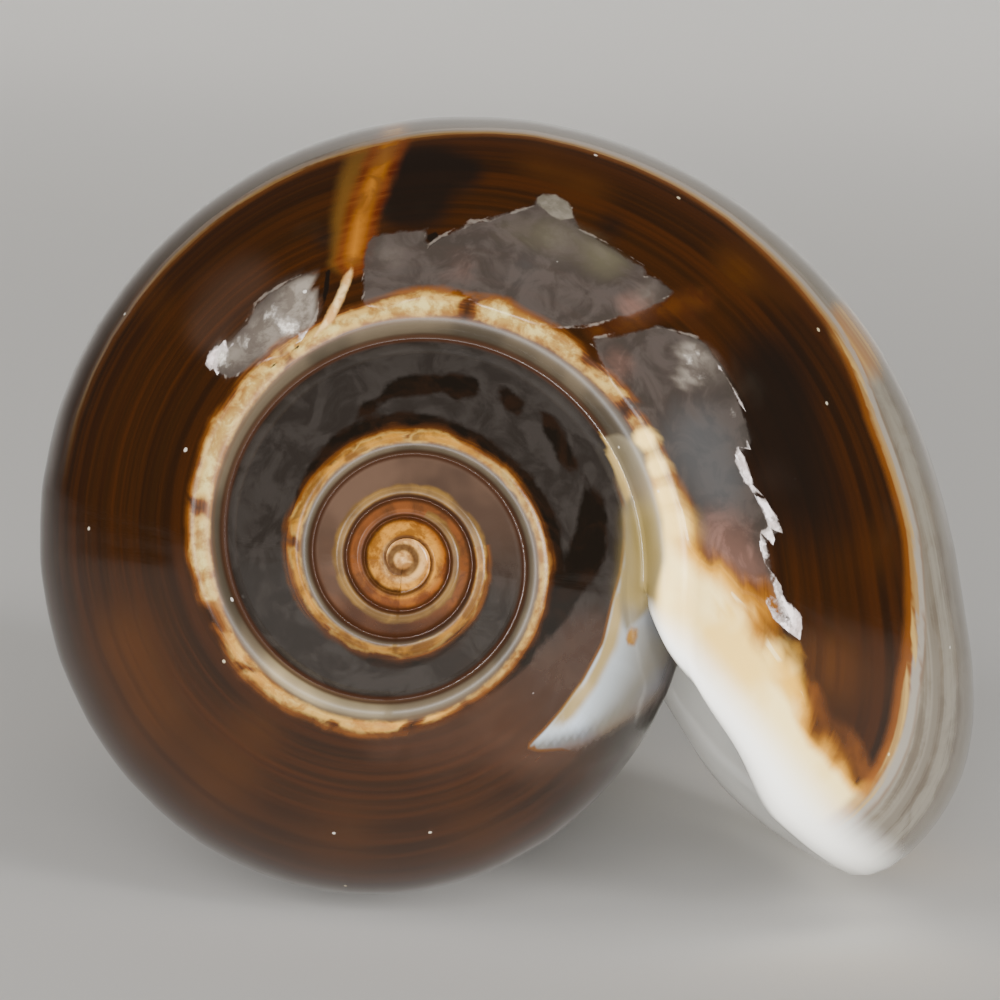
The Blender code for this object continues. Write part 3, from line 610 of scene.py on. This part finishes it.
def markings(age, leaning, place, radius, mouth):
    """The value of each field of the shell's colours at each point."""
    turn = np.radians(LIP_ANGLE - 360.0 * leaning)
    right, up = radius * np.cos(turn), -radius * np.sin(turn)
    age, place, mouth = (np.broadcast_to(values, right.shape) for values in (age, place, mouth))
    root = suture_radius(age)
    ridge_width = RIDGE_WIDTH * root
    ridge = np.where(place < 2.0, (radius / root - 1.0) / RIDGE_WIDTH, 9.0)
    outdoors = mouth < 0.5
    facing = (place < FACE_END) & outdoors
    shown = ease((2.36 - place) / 0.3)
    last_turn = facing & (age < LAST_TURN)
    early = facing & (age > EARLY_TURNS)

    def on(where, values):
        """The values where the shell has them, and well outside the marking elsewhere."""
        return np.where(where, values, -1.0)

    film = np.max([patch(right, up, outline) for outline in (LEFT_FILM, TOP_FILM, RIGHT_FILM)], axis=0)
    film = on(facing & (age < FILMED_TURN), film)
    crusty = spots(right, up, SPOTS["crusty"])
    beside = np.where(film > -0.03, 0.9, 2.5) * np.abs(film + 0.03)
    crust = 0.2 * crusty - 0.05 - beside - 0.2 * (1.0 - ease(crusty / 0.3))
    dark = [patch(right, up, outline) for outline in (BLACK_WEDGE, BLACK_NOTCH)]
    dark += [CRACK_HALF - line_distance(right, up, line) for line in HAIR_CRACKS]

    from_lip = 2.0 * np.pi * radius * age
    lip = follow(place, LIP_BORDER) + 0.15 * wander(place, 17, 6) - from_lip
    lip = np.where(place < 2.0, -1.0, lip)
    pale = np.where(facing & (age < 0.5), np.maximum(patch(right, up, LIP_PALE), lip), lip)

    blotch = np.max([patch(right, up, outline) for outline in BLOTCHES], axis=0)
    past_ridge = (ridge - 1.0) * ridge_width
    foot = np.where(age > 1.0, np.abs(suture_radius(age - 1.0) - radius), 1.0)
    groove = np.minimum(np.abs(ridge - 0.02) * ridge_width, foot)
    slope = on(outdoors, (follow(age, SLOPE_EDGE) - ridge) * ridge_width)
    cream = on(outdoors, cream_band(age, ridge, root))
    crescent = np.minimum(follow(age, CRESCENT) - past_ridge, 0.5 * past_ridge + 0.08)
    thread = place - follow(age, THREAD)
    young = np.where(outdoors & (place > 1.3), np.clip(1.0 - age / 0.5, 0.0, 1.0), 0.0)
    porcelain = patch(right, up, PORCELAIN)
    light = patch(right, up, PORCELAIN_LIGHT)
    reach = 0.3 + 1.1 * ease((up + 3.9) / 1.8)
    brim = ease((porcelain + 0.02) / 0.08) * ease((0.46 - porcelain) / 0.34) * ease((up + 3.9) / 0.6)
    fade = ease((up + 2.3) / 1.5) * ease(np.where(age > 0.5, 1.9 - up, 3.2 - up) / 0.9)
    on_last_turn = {
        "crust": crust,
        "edge": 0.02 - np.abs(film),
        "crevice": np.max(dark, axis=0),
        "flake": patch(right, up, FLAKE),
        "tongue": TONGUE_HALF - np.min([line_distance(right, up, line) for line in TONGUES], axis=0),
        "amber": AMBER_HALF - line_distance(right, up, AMBER_STRIPE) - 0.5 * (1.0 - shown),
        "base": patch(right, up, STRIPE_BASE),
        "moss": OLIVE_HALF - line_distance(right, up, OLIVE_STRIPE) - 0.6 * (1.0 - shown),
        "russet": RUSSET_HALF - line_distance(right, up, RUSSET_STRIPE),
    }
    fields = {name: on(last_turn, values) for name, values in on_last_turn.items()}
    fields |= {
        "turn": age,
        "place": place,
        "mouth": mouth,
        "ridge": np.clip(ridge, -2.0, 9.0),
        "groove": np.where(outdoors & (place < 2.0), groove, 1.0),
        "slope": on(age < SLOPE_END, slope),
        "sloped": ease((slope + 0.05) / 0.1),
        "seam": np.where(outdoors & (age < SLOPE_END), np.abs(slope), 1.0),
        "cream": on(age < CREAM_END, cream),
        "rim": on(early & (age > 2.0) & (age < 3.2), cream + 0.02),
        "film": film,
        "pale": np.where(mouth > 0.0, 1.0, pale),
        "crack": np.where(last_turn, line_distance(right, up, LIP_CRACK), 1.0),
        "porcelain": on(early, porcelain),
        "brim": on(early, brim),
        "strip": on(facing, patch(right, up, OLIVE_STRIP) - 0.5 * (1.0 - fade)),
        "blotch": on(early & (age < 2.0), np.maximum(blotch, crescent)),
        "young": young,
        "spiral": sum(np.exp(-(((place - middle) / half) ** 2)) for middle, half in SPIRAL_BANDS),
        "flank": ease((place - 2.1) / 0.3) * outdoors,
        "filmed": ease((film + 0.05) / 0.1),
        "aged": ease((age - 1.0) / 0.25),
        "thick": ease(light / reach),
        # Round the bright porcelain: its thin brown edge and the grey painted shade.
        "thin_edge_and_shade": ease(light / reach + 1.0),
        "centre": 0.57 - radius,
        "callus": ease((age - 0.90) / 0.08) * ease((place - 2.12) / 0.25),
        # Grey band outside the thread, partly a painted reflection of a bright surround.
        "outer": young * ease((thread + 0.01) / 0.03) * (1.0 - 0.8 * ease((place - 2.0) / 0.4)),
        "line": np.abs(thread + 0.008),
        "second_line": np.abs(thread - 0.010),
    }
    near_face = ease((SPOTS_END - place) / 0.12)
    for name, places in SPOTS.items():
        if name != "crusty":
            fields[name] = np.where(facing, spots(right, up, places) * near_face, 0.0)
    return {name: np.clip(values, -2.0, 9.0) for name, values in fields.items()}


def join_surfaces(pieces):
    """One closed mesh from the pieces, merged along their seams and facing outwards."""
    bpy.ops.object.select_all(action="DESELECT")
    for piece in pieces:
        piece.select_set(True)
    bpy.context.view_layer.objects.active = pieces[0]
    bpy.ops.object.join()
    joined = bpy.context.object
    bpy.ops.object.mode_set(mode="EDIT")
    bpy.ops.mesh.select_all(action="SELECT")
    bpy.ops.mesh.remove_doubles(threshold=MERGE * MM)
    bpy.ops.mesh.dissolve_degenerate(threshold=0.5 * MERGE * MM)
    bpy.ops.mesh.normals_make_consistent(inside=False)
    bpy.ops.object.mode_set(mode="OBJECT")
    bpy.ops.object.shade_smooth()
    return joined


def make_shell():
    """The whole shell in its own frame: the tip at the origin, the axis along Y, millimetres."""
    ages = (LIP_COLUMN - np.arange(LIP_COLUMN + 1)) / COLUMNS
    age = ages[:, None]
    places = lay_places(ages)
    plain_radius, plain_depth, leaning = outline(ages)
    height = relief(ages, places, plain_depth)
    radius, depth = raise_outline(plain_radius, plain_depth, height)
    radius[:, 0], depth[:, 0] = plain_radius[:, 0], plain_depth[:, 0]
    outside = in_space(radius, depth, leaning)
    last = slice(CHAMBER_COLUMN, None)
    under = slice(PILLAR_COLUMN, CHAMBER_COLUMN + 1)
    plain = (plain_radius[last], plain_depth[last], leaning[last])
    inner = in_space(*inside(ages[last], plain, (radius[under], depth[under])))
    foot = outside[CHAMBER_COLUMN, SUTURE_ROW : FOOT_ROW + 1]
    rim = rim_rows(outside[last], inner, foot)

    def piece(name, columns, rows):
        here = (columns, rows)
        return add_surface(name, outside[here], age[columns], leaning[here], places[here])

    pieces = [
        piece("spire", slice(0, CHAMBER_COLUMN + 1), slice(0, SUTURE_ROW + 1)),
        piece("body", last, slice(0, None)),
        piece("pillar", under, slice(FOOT_ROW, None)),
    ]
    pieces.append(add_surface("chamber", inner, age[last], leaning[last], places[last], 1.0))

    around = np.concatenate([np.zeros(LAST_ROW + 1), ages[last][-2::-1]])[:, None]
    along = np.concatenate([places[-1], np.full(COLUMNS, 3.0)])[:, None]
    across = np.linspace(0.0, 1.0, RIM_ROWS + 1)
    lean_here = np.concatenate([leaning[-1], leaning[last][-2::-1, -1]])[:, None]
    pieces.append(add_surface("lip", rim, around, lean_here, along, across))

    front = np.concatenate([outside[PILLAR_COLUMN:CHAMBER_COLUMN, -1], rim[-1, :-1]])
    front = disc_rows(front, (0.0, front_edge(1.5) - PILLAR_HOLLOW, 0.0))
    pieces.append(add_surface("front", front, 1.0, 1.0, 3.0))

    tip = np.concatenate([outside[:COLUMNS, 0], outside[0, SUTURE_ROW:0:-1]])
    tip = disc_rows(tip, (0.0, 0.0, 0.0))
    pieces.append(add_surface("tip", tip, TURNS, TURNS, 0.0))
    return join_surfaces(pieces)


def lay_down(shell):
    """Turn the shell onto its belly and lip, in the box of the solid. Gives the same move as a matrix."""
    pitch = Matrix.Rotation(math.radians(REST_PITCH), 4, "X")
    turn = pitch @ Matrix.Rotation(math.radians(REST_ROLL), 4, "Y")
    shell.data.transform(turn)
    flat = np.zeros(len(shell.data.vertices) * 3)
    shell.data.vertices.foreach_get("co", flat)
    low, high = flat.reshape(-1, 3).min(axis=0), flat.reshape(-1, 3).max(axis=0)
    room = np.array(cad_high) - np.array(cad_low)
    fit = min(1.0, float((room / (high - low)).min())) * FIT
    middle = 0.5 * (low + high)
    place = Matrix.Translation((-fit * middle[0], -fit * middle[1], -fit * low[2] + LIFT))
    settle = place @ Matrix.Scale(fit, 4)
    shell.data.transform(settle)
    return settle @ turn


bpy.ops.object.select_all(action="DESELECT")
shell = make_shell()
shell.name = "olive_shell"
settled = lay_down(shell)


# ---------------------------------------------------------------- colours and finish
# Patterns in the solid shell: size of the grains in millimetres, detail, roughness, distortion.
SOLID_PATTERNS = {
    "grit": (0.12, 3.0, 0.6, 0.0),
    "ragged": (0.42, 5.0, 0.65, 0.3),
    "wisps": (0.9, 5.0, 0.6, 0.8),
    "clouds": (2.6, 3.0, 0.5, 0.2),
}
# Patterns that follow the growth: how many along a turn, how many across it, detail, distortion.
GROWTH_PATTERNS = {
    "streaks": (2.5, 26.0, 4.0, 0.3),
    "bands": (0.8, 14.0, 3.0, 0.0),
    "growth_lines": (90.0, 2.0, 4.0, 0.0),
    "tents": (34.0, 9.0, 2.0, 1.6),
}
# The layers of colour, the lowest first: the field that places a layer, the values where it starts
# and is full, how opaque it gets, the pattern that frays its edge and how far, the field it stays
# within, and its colour, or its two colours and the pattern that mixes them.
PAINT = [
    # Chestnut ground in streaks along the turns, with amber and near-black places; the soft amber patches are
    # a painted glow of light shining through the shell.
    ("streaks", 0.36, 0.66, 0.75, "", 0.0, "", "#2c1302"),
    ("bands", 0.48, 0.66, 0.7, "", 0.0, "", "#140802"),
    ("tents", 0.54, 0.64, 0.4, "wisps", 0.1, "flank", "#4a2f10"),
    ("spiral", 0.1, 0.9, 0.5, "wisps", 0.2, "flank", "#1a0d05"),
    ("place", 2.79, 2.81, 0.8, "", 0.0, "", "#7d5a34", "#5d3d20", "streaks"),
    # painted glow of light through the shell, in amber
    ("glow", 0.1, 1.2, 0.75, "clouds", 0.15, "", "#3e2003", "#2f1702", "streaks"),
    ("black", 0.1, 0.9, 0.9, "clouds", 0.15, "", "#0d0805"),
    ("haze", 0.1, 1.0, 0.14, "clouds", 0.2, "", "#4c3c33"),
    ("moss", -0.15, 0.2, 0.75, "wisps", 0.12, "", "#4b320f"),
    ("russet", -0.1, 0.35, 0.35, "wisps", 0.25, "", "#4e2a0a", "#371806", "wisps"),
    ("amber", -0.25, 0.0, 0.85, "wisps", 0.1, "", "#3c1403", "#4c240a", "streaks"),
    ("amber", -0.05, 0.3, 0.9, "wisps", 0.08, "", "#7c4d12", "#583612", "wisps"),
    # The early turns: slate, then mauve copper, gold, and a pale pink first turn.
    ("turn", 0.85, 0.92, 1.0, "", 0.0, "", "#24201d", "#1a1613", "wisps"),
    ("turn", 1.93, 2.1, 1.0, "", 0.0, "", "#46352a", "#34271f", "clouds"),
    ("turn", 2.4, 2.95, 1.0, "", 0.0, "", "#563016", "#3d2413", "wisps"),
    ("turn", 3.4, 3.9, 1.0, "", 0.0, "", "#6c3c10", "#48230a", "ragged"),
    ("umber", 0.1, 1.0, 0.85, "wisps", 0.2, "", "#1f1009", "#2c170b", "wisps"),
    ("centre", -0.34, -0.14, 0.8, "wisps", 0.06, "", "#9a6a26", "#6a4212", "ragged"),
    ("centre", 0.03, 0.12, 1.0, "ragged", 0.06, "", "#a07a48", "#6e4a24", "ragged"),
    ("rosy", 0.1, 1.0, 0.5, "wisps", 0.25, "", "#402c21", "#342117", "clouds"),
    ("blotch", -0.06, 0.07, 0.97, "ragged", 0.13, "", "#0a0603", "#150b05", "wisps"),
    # Thin grey film of callus: the ground shows through. On it lie painted reflections of the lamps as silver
    # patches, and painted glints as near-white specks.
    ("film", -0.02, 0.05, 0.88, "ragged", 0.12, "", "#38322e", "#2b2622", "wisps"),
    ("green", 0.2, 1.0, 0.35, "wisps", 0.3, "filmed", "#55513c"),
    ("blue", 0.2, 1.0, 0.5, "wisps", 0.3, "filmed", "#3d3f40"),
    ("rosy", 0.2, 1.0, 0.5, "ragged", 0.2, "filmed", "#79564a", "#5d4238", "wisps"),
    # painted reflection of the lamps on the film, in silver
    ("painted_reflection", 0.1, 1.0, 0.75, "wisps", 0.2, "filmed", "#756d63", "#564e46", "ragged"),
    # painted glints of highlight on the film
    ("painted_glint", 0.22, 0.6, 0.9, "ragged", 0.45, "filmed", "#c4bdb3", "#9a9288", "grit"),
    ("edge", -0.03, 0.01, 0.4, "grit", 0.04, "", "#7d756c"),
    ("flake", 0.0, 0.05, 0.8, "ragged", 0.05, "", "#4a453b", "#5c564c", "ragged"),
    # The rim of the suture: grey inside, cream outside, with a dark line between and in the groove.
    ("rim", -0.06, 0.03, 0.9, "wisps", 0.04, "", "#46331a", "#5c4420", "wisps"),
    ("cream", -0.2, 0.0, 0.8, "wisps", 0.12, "", "#5e340c", "#3a1d08", "streaks"),
    ("slope", -0.14, 0.02, 0.95, "wisps", 0.03, "", "#463d30", "#2f2920", "clouds"),
    ("seam", 0.05, 0.01, 0.3, "wisps", 0.02, "", "#3a2410"),
    ("cream", -0.06, 0.07, 0.95, "wisps", 0.14, "", "#8a6f38", "#64431a", "ragged"),
    ("cream", 0.05, 0.26, 0.9, "wisps", 0.26, "", "#9f915a", "#7f6532", "ragged"),
    ("cream", 0.0, 0.07, 0.9, "wisps", 0.1, "aged", "#7e5518", "#4a2d0c", "wisps"),
    ("cream", 0.0, 0.07, 0.9, "wisps", 0.1, "golden", "#a3742a", "#7d4c1c", "wisps"),
    ("cream", -0.05, 0.05, 0.9, "wisps", 0.1, "brown", "#5c3c10", "#3a2308", "wisps"),
    ("ashy", 0.1, 0.9, 0.9, "wisps", 0.1, "sloped", "#77694e", "#5f5440", "clouds"),
    ("groove", 0.12, 0.04, 0.85, "", 0.0, "", "#26140a"),
    # The last growth by the lip: cream and white, edged in orange, with brown tongues and stains.
    ("pale", -0.45, -0.05, 0.9, "clouds", 0.25, "", "#4c2906", "#6c400a", "streaks"),
    ("pale", -0.2, 0.16, 1.0, "wisps", 0.16, "", "#b8842a", "#8a5a12", "clouds"),
    ("pale", 0.02, 0.5, 1.0, "wisps", 0.16, "", "#e2c884", "#d4ae5a", "clouds"),
    ("pale", 1.0, 2.2, 0.9, "clouds", 0.3, "", "#f6ebd2"),
    ("stain", 0.1, 0.7, 0.85, "wisps", 0.15, "", "#c4942e", "#dfbe6c", "clouds"),
    ("tongue", -0.08, 0.2, 0.95, "wisps", 0.14, "", "#4e2a0a", "#2c1505", "clouds"),
    ("crack", 0.06, 0.03, 0.5, "wisps", 0.02, "", "#dccb9c"),
    # Outside the pale thread: grey and brown mottling in bands, the grey partly a painted reflection of a
    # bright surround; and the thread in two tones, partly a painted highlight line.
    ("outer", 0.05, 0.9, 1.0, "", 0.0, "", "#5f584d", "#716b5f", "bands"),
    ("streaks", 0.44, 0.66, 0.6, "wisps", 0.25, "outer", "#3a2c1e", "#544634", "clouds"),
    ("ochre", 0.2, 0.9, 0.8, "wisps", 0.15, "", "#a07c3e", "#7e5528", "streaks"),
    ("line", 0.05, 0.018, 0.7, "wisps", 0.006, "young", "#6a3a0e"),
    ("second_line", 0.022, 0.012, 0.9, "", 0.0, "young", "#7c786e"),
    ("line", 0.018, 0.010, 0.95, "wisps", 0.003, "young", "#967a44", "#7a5e34", "streaks"),
    # Porcelain callus by the mouth, bright where it is thick; round that, a brown edge where it thins out,
    # and grey painted shade.
    ("callus", 0.05, 0.9, 0.95, "clouds", 0.2, "", "#d2cab8", "#bdb298", "clouds"),
    ("porcelain", -0.1, -0.02, 0.6, "", 0.0, "thin_edge_and_shade", "#5a3812"),
    # painted shade: the porcelain in grey round its bright part
    ("porcelain", -0.03, 0.03, 1.0, "", 0.0, "thin_edge_and_shade", "#4c4d50", "#504c44", "clouds"),
    ("porcelain", -0.03, 0.04, 1.0, "", 0.0, "thick", "#a3acb5", "#90979b", "clouds"),
    ("brim", 0.1, 0.9, 0.9, "wisps", 0.1, "", "#8c7648", "#75602f", "clouds"),
    ("strip", -0.1, 0.1, 0.95, "", 0.0, "", "#4c4433", "#585040", "clouds"),
    ("olive", 0.1, 0.9, 0.9, "wisps", 0.1, "", "#5e502a", "#6a5b36", "clouds"),
    ("honey", 0.2, 0.8, 0.95, "wisps", 0.1, "", "#6e4c12", "#5a3a0c", "ragged"),
    # Torn edges: crust along the film, cracks, and the crusted foot of the amber stripe.
    ("base", -0.04, 0.06, 0.95, "ragged", 0.08, "", "#c4a572", "#9a7442", "ragged"),
    ("crevice", -0.01, 0.015, 1.0, "ragged", 0.015, "", "#0c0704"),
    ("crust", -0.02, 0.03, 0.9, "ragged", 0.12, "", "#8f8580", "#a39a96", "grit"),
    ("crust", 0.03, 0.06, 1.0, "grit", 0.12, "", "#d2c6c4", "#a3948f", "ragged"),
    # Inside the mouth: white porcelain.
    ("mouth", 0.05, 0.3, 1.0, "", 0.0, "", "#eceae2"),
    # Fine dust.
    ("dust", 0.045, 0.025, 0.55, "ragged", 0.03, "", "#bdb08c", "#cfcac2", "clouds"),
]
DUST_SPACING = 1.3
# Crust is dry and chalky, the ridges are worn to a satin, and dirt dulls the groove. The film and the
# growth lines stand a little proud. Each has its field, the values where it starts and is full, and
# its roughness, gloss or height in millimetres at those two.
FINISH = {
    "dry": ("crust", 0.0, 0.04, 0.13, 0.5),
    "worn": ("ridge", 1.25, 0.5, 0.0, 0.32),
    "dull": ("groove", 0.03, 0.2, 0.1, 1.0),
    "satin": ("ridge", 0.4, 1.4, 0.14, 0.5),
    "film_height": ("film", -0.03, 0.05, 0.0, 0.02),
    "crust_height": ("crust", -0.02, 0.05, 0.0, 0.04),
}
LINE_HEIGHT = 0.006


def srgb(hex_colour):
    """A hex colour as the linear numbers that a shader takes."""
    parts = [int(hex_colour[i : i + 2], 16) / 255.0 for i in (1, 3, 5)]
    return [p / 12.92 if p <= 0.04045 else ((p + 0.055) / 1.055) ** 2.4 for p in parts] + [1.0]


def add(tree, kind, settings=None, inputs=None):
    """One node, with its settings, and each input either a value or a link from another node."""
    made = tree.nodes.new("ShaderNode" + kind)
    for name, value in (settings or {}).items():
        setattr(made, name, value)
    for name, value in (inputs or {}).items():
        if isinstance(value, bpy.types.NodeSocket):
            tree.links.new(value, made.inputs[name])
        else:
            made.inputs[name].default_value = value
    return made


def shell_material(fields):
    """Aragonite shell, laid down wet and kept glossy by the animal's mantle: dark pigment and pale
    callus under a clear, even, glass-like skin, so the highlights are sharp and the colour is deep.
    """
    material = bpy.data.materials.new("polished_aragonite")
    material.use_nodes = True
    tree = material.node_tree
    surface = tree.nodes["Principled BSDF"]
    solid = add(tree, "TexCoord").outputs["Object"]
    growth = add(tree, "UVMap", {"uv_map": "growth"}).outputs["UV"]
    smooth = {"interpolation_type": "SMOOTHSTEP"}
    multiply_add = {"operation": "MULTIPLY_ADD"}
    mix_colours = {"data_type": "RGBA"}
    values = {
        name: add(tree, "Attribute", {"attribute_name": name}).outputs["Fac"] for name in fields
    }
    for name, (size, detail, roughness, distortion) in SOLID_PATTERNS.items():
        look = {"Vector": solid, "Scale": 1.0 / (size * MM), "Detail": detail}
        look |= {"Roughness": roughness, "Distortion": distortion}
        values[name] = add(tree, "TexNoise", {}, look).outputs["Fac"]
    for name, (along, across, detail, distortion) in GROWTH_PATTERNS.items():
        stretch = {"Vector": growth, "Scale": (along, across, 1.0)}
        stretched = add(tree, "Mapping", {}, stretch).outputs[0]
        look = {"Vector": stretched, "Scale": 1.0, "Detail": detail}
        look |= {"Roughness": 0.6, "Distortion": distortion}
        values[name] = add(tree, "TexNoise", {}, look).outputs["Fac"]
    specks = {"Vector": solid, "Scale": 1.0 / (DUST_SPACING * MM)}
    values["dust"] = add(tree, "TexVoronoi", {}, specks).outputs["Distance"]

    colour = srgb("#1b0c02")
    for where, start, full, opacity, frayed_by, fray, within, first, *mixed in PAINT:
        value = values[where]
        if frayed_by:
            frayed = {0: values[frayed_by], 1: 2.0 * fray, 2: value}
            value = add(tree, "Math", multiply_add, frayed).outputs[0]
        steps = {"Value": value, 1: start + fray, 2: full + fray, 3: 0.0, 4: opacity}
        amount = add(tree, "MapRange", smooth, steps).outputs[0]
        if within:
            kept = {0: amount, 1: values[within]}
            amount = add(tree, "Math", {"operation": "MULTIPLY"}, kept).outputs[0]
        over = srgb(first)
        if mixed:
            steps = {"Value": values[mixed[1]], 1: 0.4, 2: 0.6}
            share = add(tree, "MapRange", smooth, steps).outputs[0]
            both = {0: share, 6: over, 7: srgb(mixed[0])}
            over = add(tree, "Mix", mix_colours, both).outputs[2]
        both = {0: amount, 6: colour, 7: over}
        colour = add(tree, "Mix", mix_colours, both).outputs[2]
    tree.links.new(colour, surface.inputs["Base Color"])

    for name, (where, *steps) in FINISH.items():
        ramp = {"Value": values[where], **dict(enumerate(steps, 1))}
        values[name] = add(tree, "MapRange", smooth, ramp).outputs[0]
    rough = {0: values["dry"], 1: values["worn"]}
    rough = add(tree, "Math", {"operation": "ADD"}, rough)
    tree.links.new(rough.outputs[0], surface.inputs["Roughness"])
    gloss = {0: values["dull"], 1: values["satin"]}
    gloss = add(tree, "Math", {"operation": "MULTIPLY"}, gloss)
    tree.links.new(gloss.outputs[0], surface.inputs["Specular IOR Level"])
    height = {0: values["film_height"], 1: values["crust_height"]}
    height = add(tree, "Math", {"operation": "ADD"}, height)
    height = {0: values["growth_lines"], 1: LINE_HEIGHT, 2: height.outputs[0]}
    height = add(tree, "Math", multiply_add, height)
    bump = {"Height": height.outputs[0], "Strength": 0.6, "Distance": MM}
    bump = add(tree, "Bump", {}, bump)
    tree.links.new(bump.outputs["Normal"], surface.inputs["Normal"])
    surface.inputs["IOR"].default_value = 1.53
    return material


layers = [layer for layer in shell.data.attributes if layer.domain == "CORNER"]
fields = [layer.name for layer in layers if layer.data_type == "FLOAT"]
shell.data.materials.clear()
shell.data.materials.append(shell_material(fields))
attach(shell, "root")
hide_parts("shell")

# ---------------------------------------------------------------- floor, lights and camera
FLOOR_SIZE, FLOOR_STEPS, FLOOR_FLAT, FLOOR_BEND = 4.0, 80, 0.5, 0.7
VIEW_FROM = Vector((2.064, -160.0, 1.277)) * MM
LENS = 270.7
scene = bpy.context.scene


def floor_material():
    """Matt paper: no gloss, and an even pale tone."""
    material = bpy.data.materials.new("pale_matt_paper")
    material.use_nodes = True
    inputs = material.node_tree.nodes["Principled BSDF"].inputs
    inputs["Base Color"].default_value = srgb("#dfdcd7")
    inputs["Roughness"].default_value = 0.9
    inputs["Specular IOR Level"].default_value = 0.1
    return material


def add_floor():
    """A sheet of paper that lies flat under the shell and is swept up well behind it."""
    bpy.ops.mesh.primitive_grid_add(x_subdivisions=1, y_subdivisions=FLOOR_STEPS, size=FLOOR_SIZE)
    floor = bpy.context.object
    floor.name = "floor"
    for vertex in floor.data.vertices:
        past = max(vertex.co.y - FLOOR_FLAT, 0.0)
        turn = min(past / FLOOR_BEND, 0.5 * math.pi)
        vertex.co.z = FLOOR_BEND * (1.0 - math.cos(turn)) + max(past - 0.5 * math.pi * FLOOR_BEND, 0.0)
        vertex.co.y += FLOOR_BEND * math.sin(turn) - past
    bpy.ops.object.shade_smooth()
    floor.data.materials.append(floor_material())
    return floor


def add_softbox(name, place, aim, size, power, spread=180.0):
    """A square lamp that faces a place, and isn't seen itself; a grid may narrow its spread."""
    lamp = bpy.data.lights.new(name, "AREA")
    lamp.size = size
    lamp.energy = power
    lamp.spread = math.radians(spread)
    softbox = bpy.data.objects.new(name, lamp)
    scene.collection.objects.link(softbox)
    towards = (Vector(aim) - Vector(place)).to_track_quat("-Z", "Y")
    softbox.matrix_world = Matrix.Translation(place) @ towards.to_matrix().to_4x4()
    softbox.visible_camera = False


bpy.ops.object.select_all(action="DESELECT")
add_floor()
TIP = (0.0, -0.015, 0.008)
add_softbox("key", (-0.02, -0.70, 0.10), TIP, 0.26, 0.46, 35.0)
add_softbox("left_fill", (-0.28, -0.42, 0.10), TIP, 0.24, 0.09, 35.0)
add_softbox("right_fill", (0.28, -0.42, 0.09), TIP, 0.22, 0.17, 35.0)
add_softbox("mouth_fill", (-0.03, -0.60, 0.035), TIP, 0.07, 0.27, 35.0)
add_softbox("background", (0.0, 0.30, 1.0), (0.0, 1.30, 0.70), 0.4, 12.0)

world = scene.world or bpy.data.worlds.new("world")
scene.world = world
world.use_nodes = True
sky = world.node_tree.nodes["Background"].inputs
sky["Color"].default_value = srgb("#c9c7c4")
sky["Strength"].default_value = 0.16

lens = bpy.data.cameras.new("camera")
lens.lens = LENS
lens.sensor_width = 36.0
lens.clip_start = 0.005
lens.clip_end = 10.0
camera = bpy.data.objects.new("camera", lens)
scene.collection.objects.link(camera)
standing = settled.to_translation() + settled.to_3x3() @ VIEW_FROM
level = settled.to_quaternion().to_matrix().to_4x4() @ Matrix.Rotation(math.radians(90.0), 4, "X")
camera.matrix_world = Matrix.Translation(standing) @ level
scene.camera = camera

bpy.context.view_layer.update()
